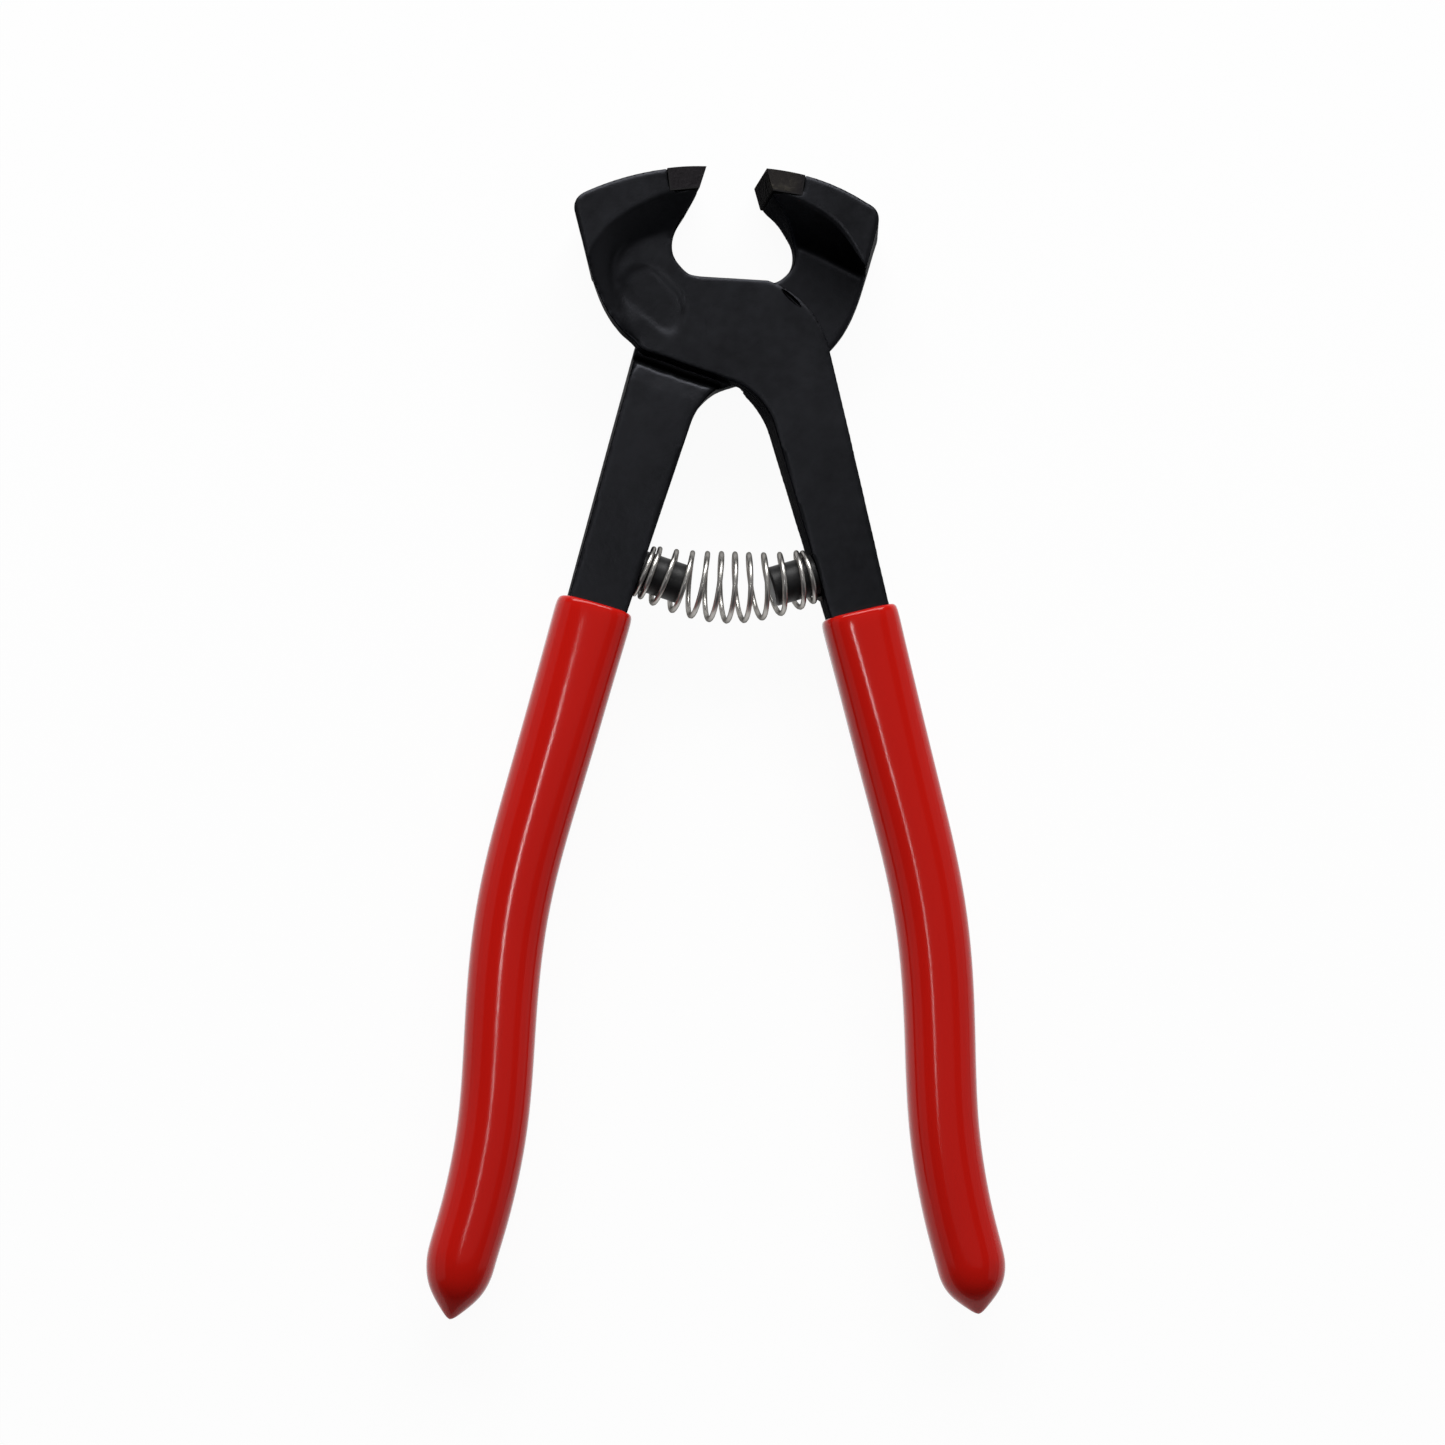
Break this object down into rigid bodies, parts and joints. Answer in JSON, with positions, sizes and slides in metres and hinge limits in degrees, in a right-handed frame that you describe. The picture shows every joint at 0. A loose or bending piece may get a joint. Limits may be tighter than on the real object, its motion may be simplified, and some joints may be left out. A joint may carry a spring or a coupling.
{
  "type": "tile nippers",
  "caption": "Tile nippers: crossed forged arms with wide end-cutting jaws, brazed hard tips, a barrel return spring between two posts and dipped grips.",
  "frame": {"origin": "on the rivet's axis, in the back face of the joint", "axes": "+Y towards the jaws along the tool's centre line, +Z along the rivet out of the front face, +X to the right"},
  "size_m": [0.1042, 0.2065, 0.02],
  "materials": {
    "arm_paint": "satin black paint over forged steel",
    "post_paint": "black oxide on turned steel",
    "carbide": "ground hard metal",
    "braze": "dull braze",
    "spring_steel": "bright drawn wire",
    "grip_red": "glossy dipped vinyl"
  },
  "bodies": {
    "front_arm": {"front_arm": "arm_paint", "front_jaw_tip": "carbide", "front_tip_braze": "braze", "front_spring_post": "post_paint", "front_grip": "grip_red", "pivot_rivet": "arm_paint", "return_spring": "spring_steel"},
    "rear_arm": {"rear_arm": "arm_paint", "rear_jaw_tip": "carbide", "rear_tip_braze": "braze", "rear_spring_post": "post_paint", "rear_grip": "grip_red"}
  },
  "joints": [
    {"name": "pivot", "type": "hinge", "parent": "front_arm", "child": "rear_arm", "pos_m": [0, 0, 0.0055], "axis": [0, 0, 1], "range_deg": [0, 17], "stiffness_Nm_per_rad": 1.3, "springref_deg": -2.86, "deforming": ["return_spring"]}
  ]
}
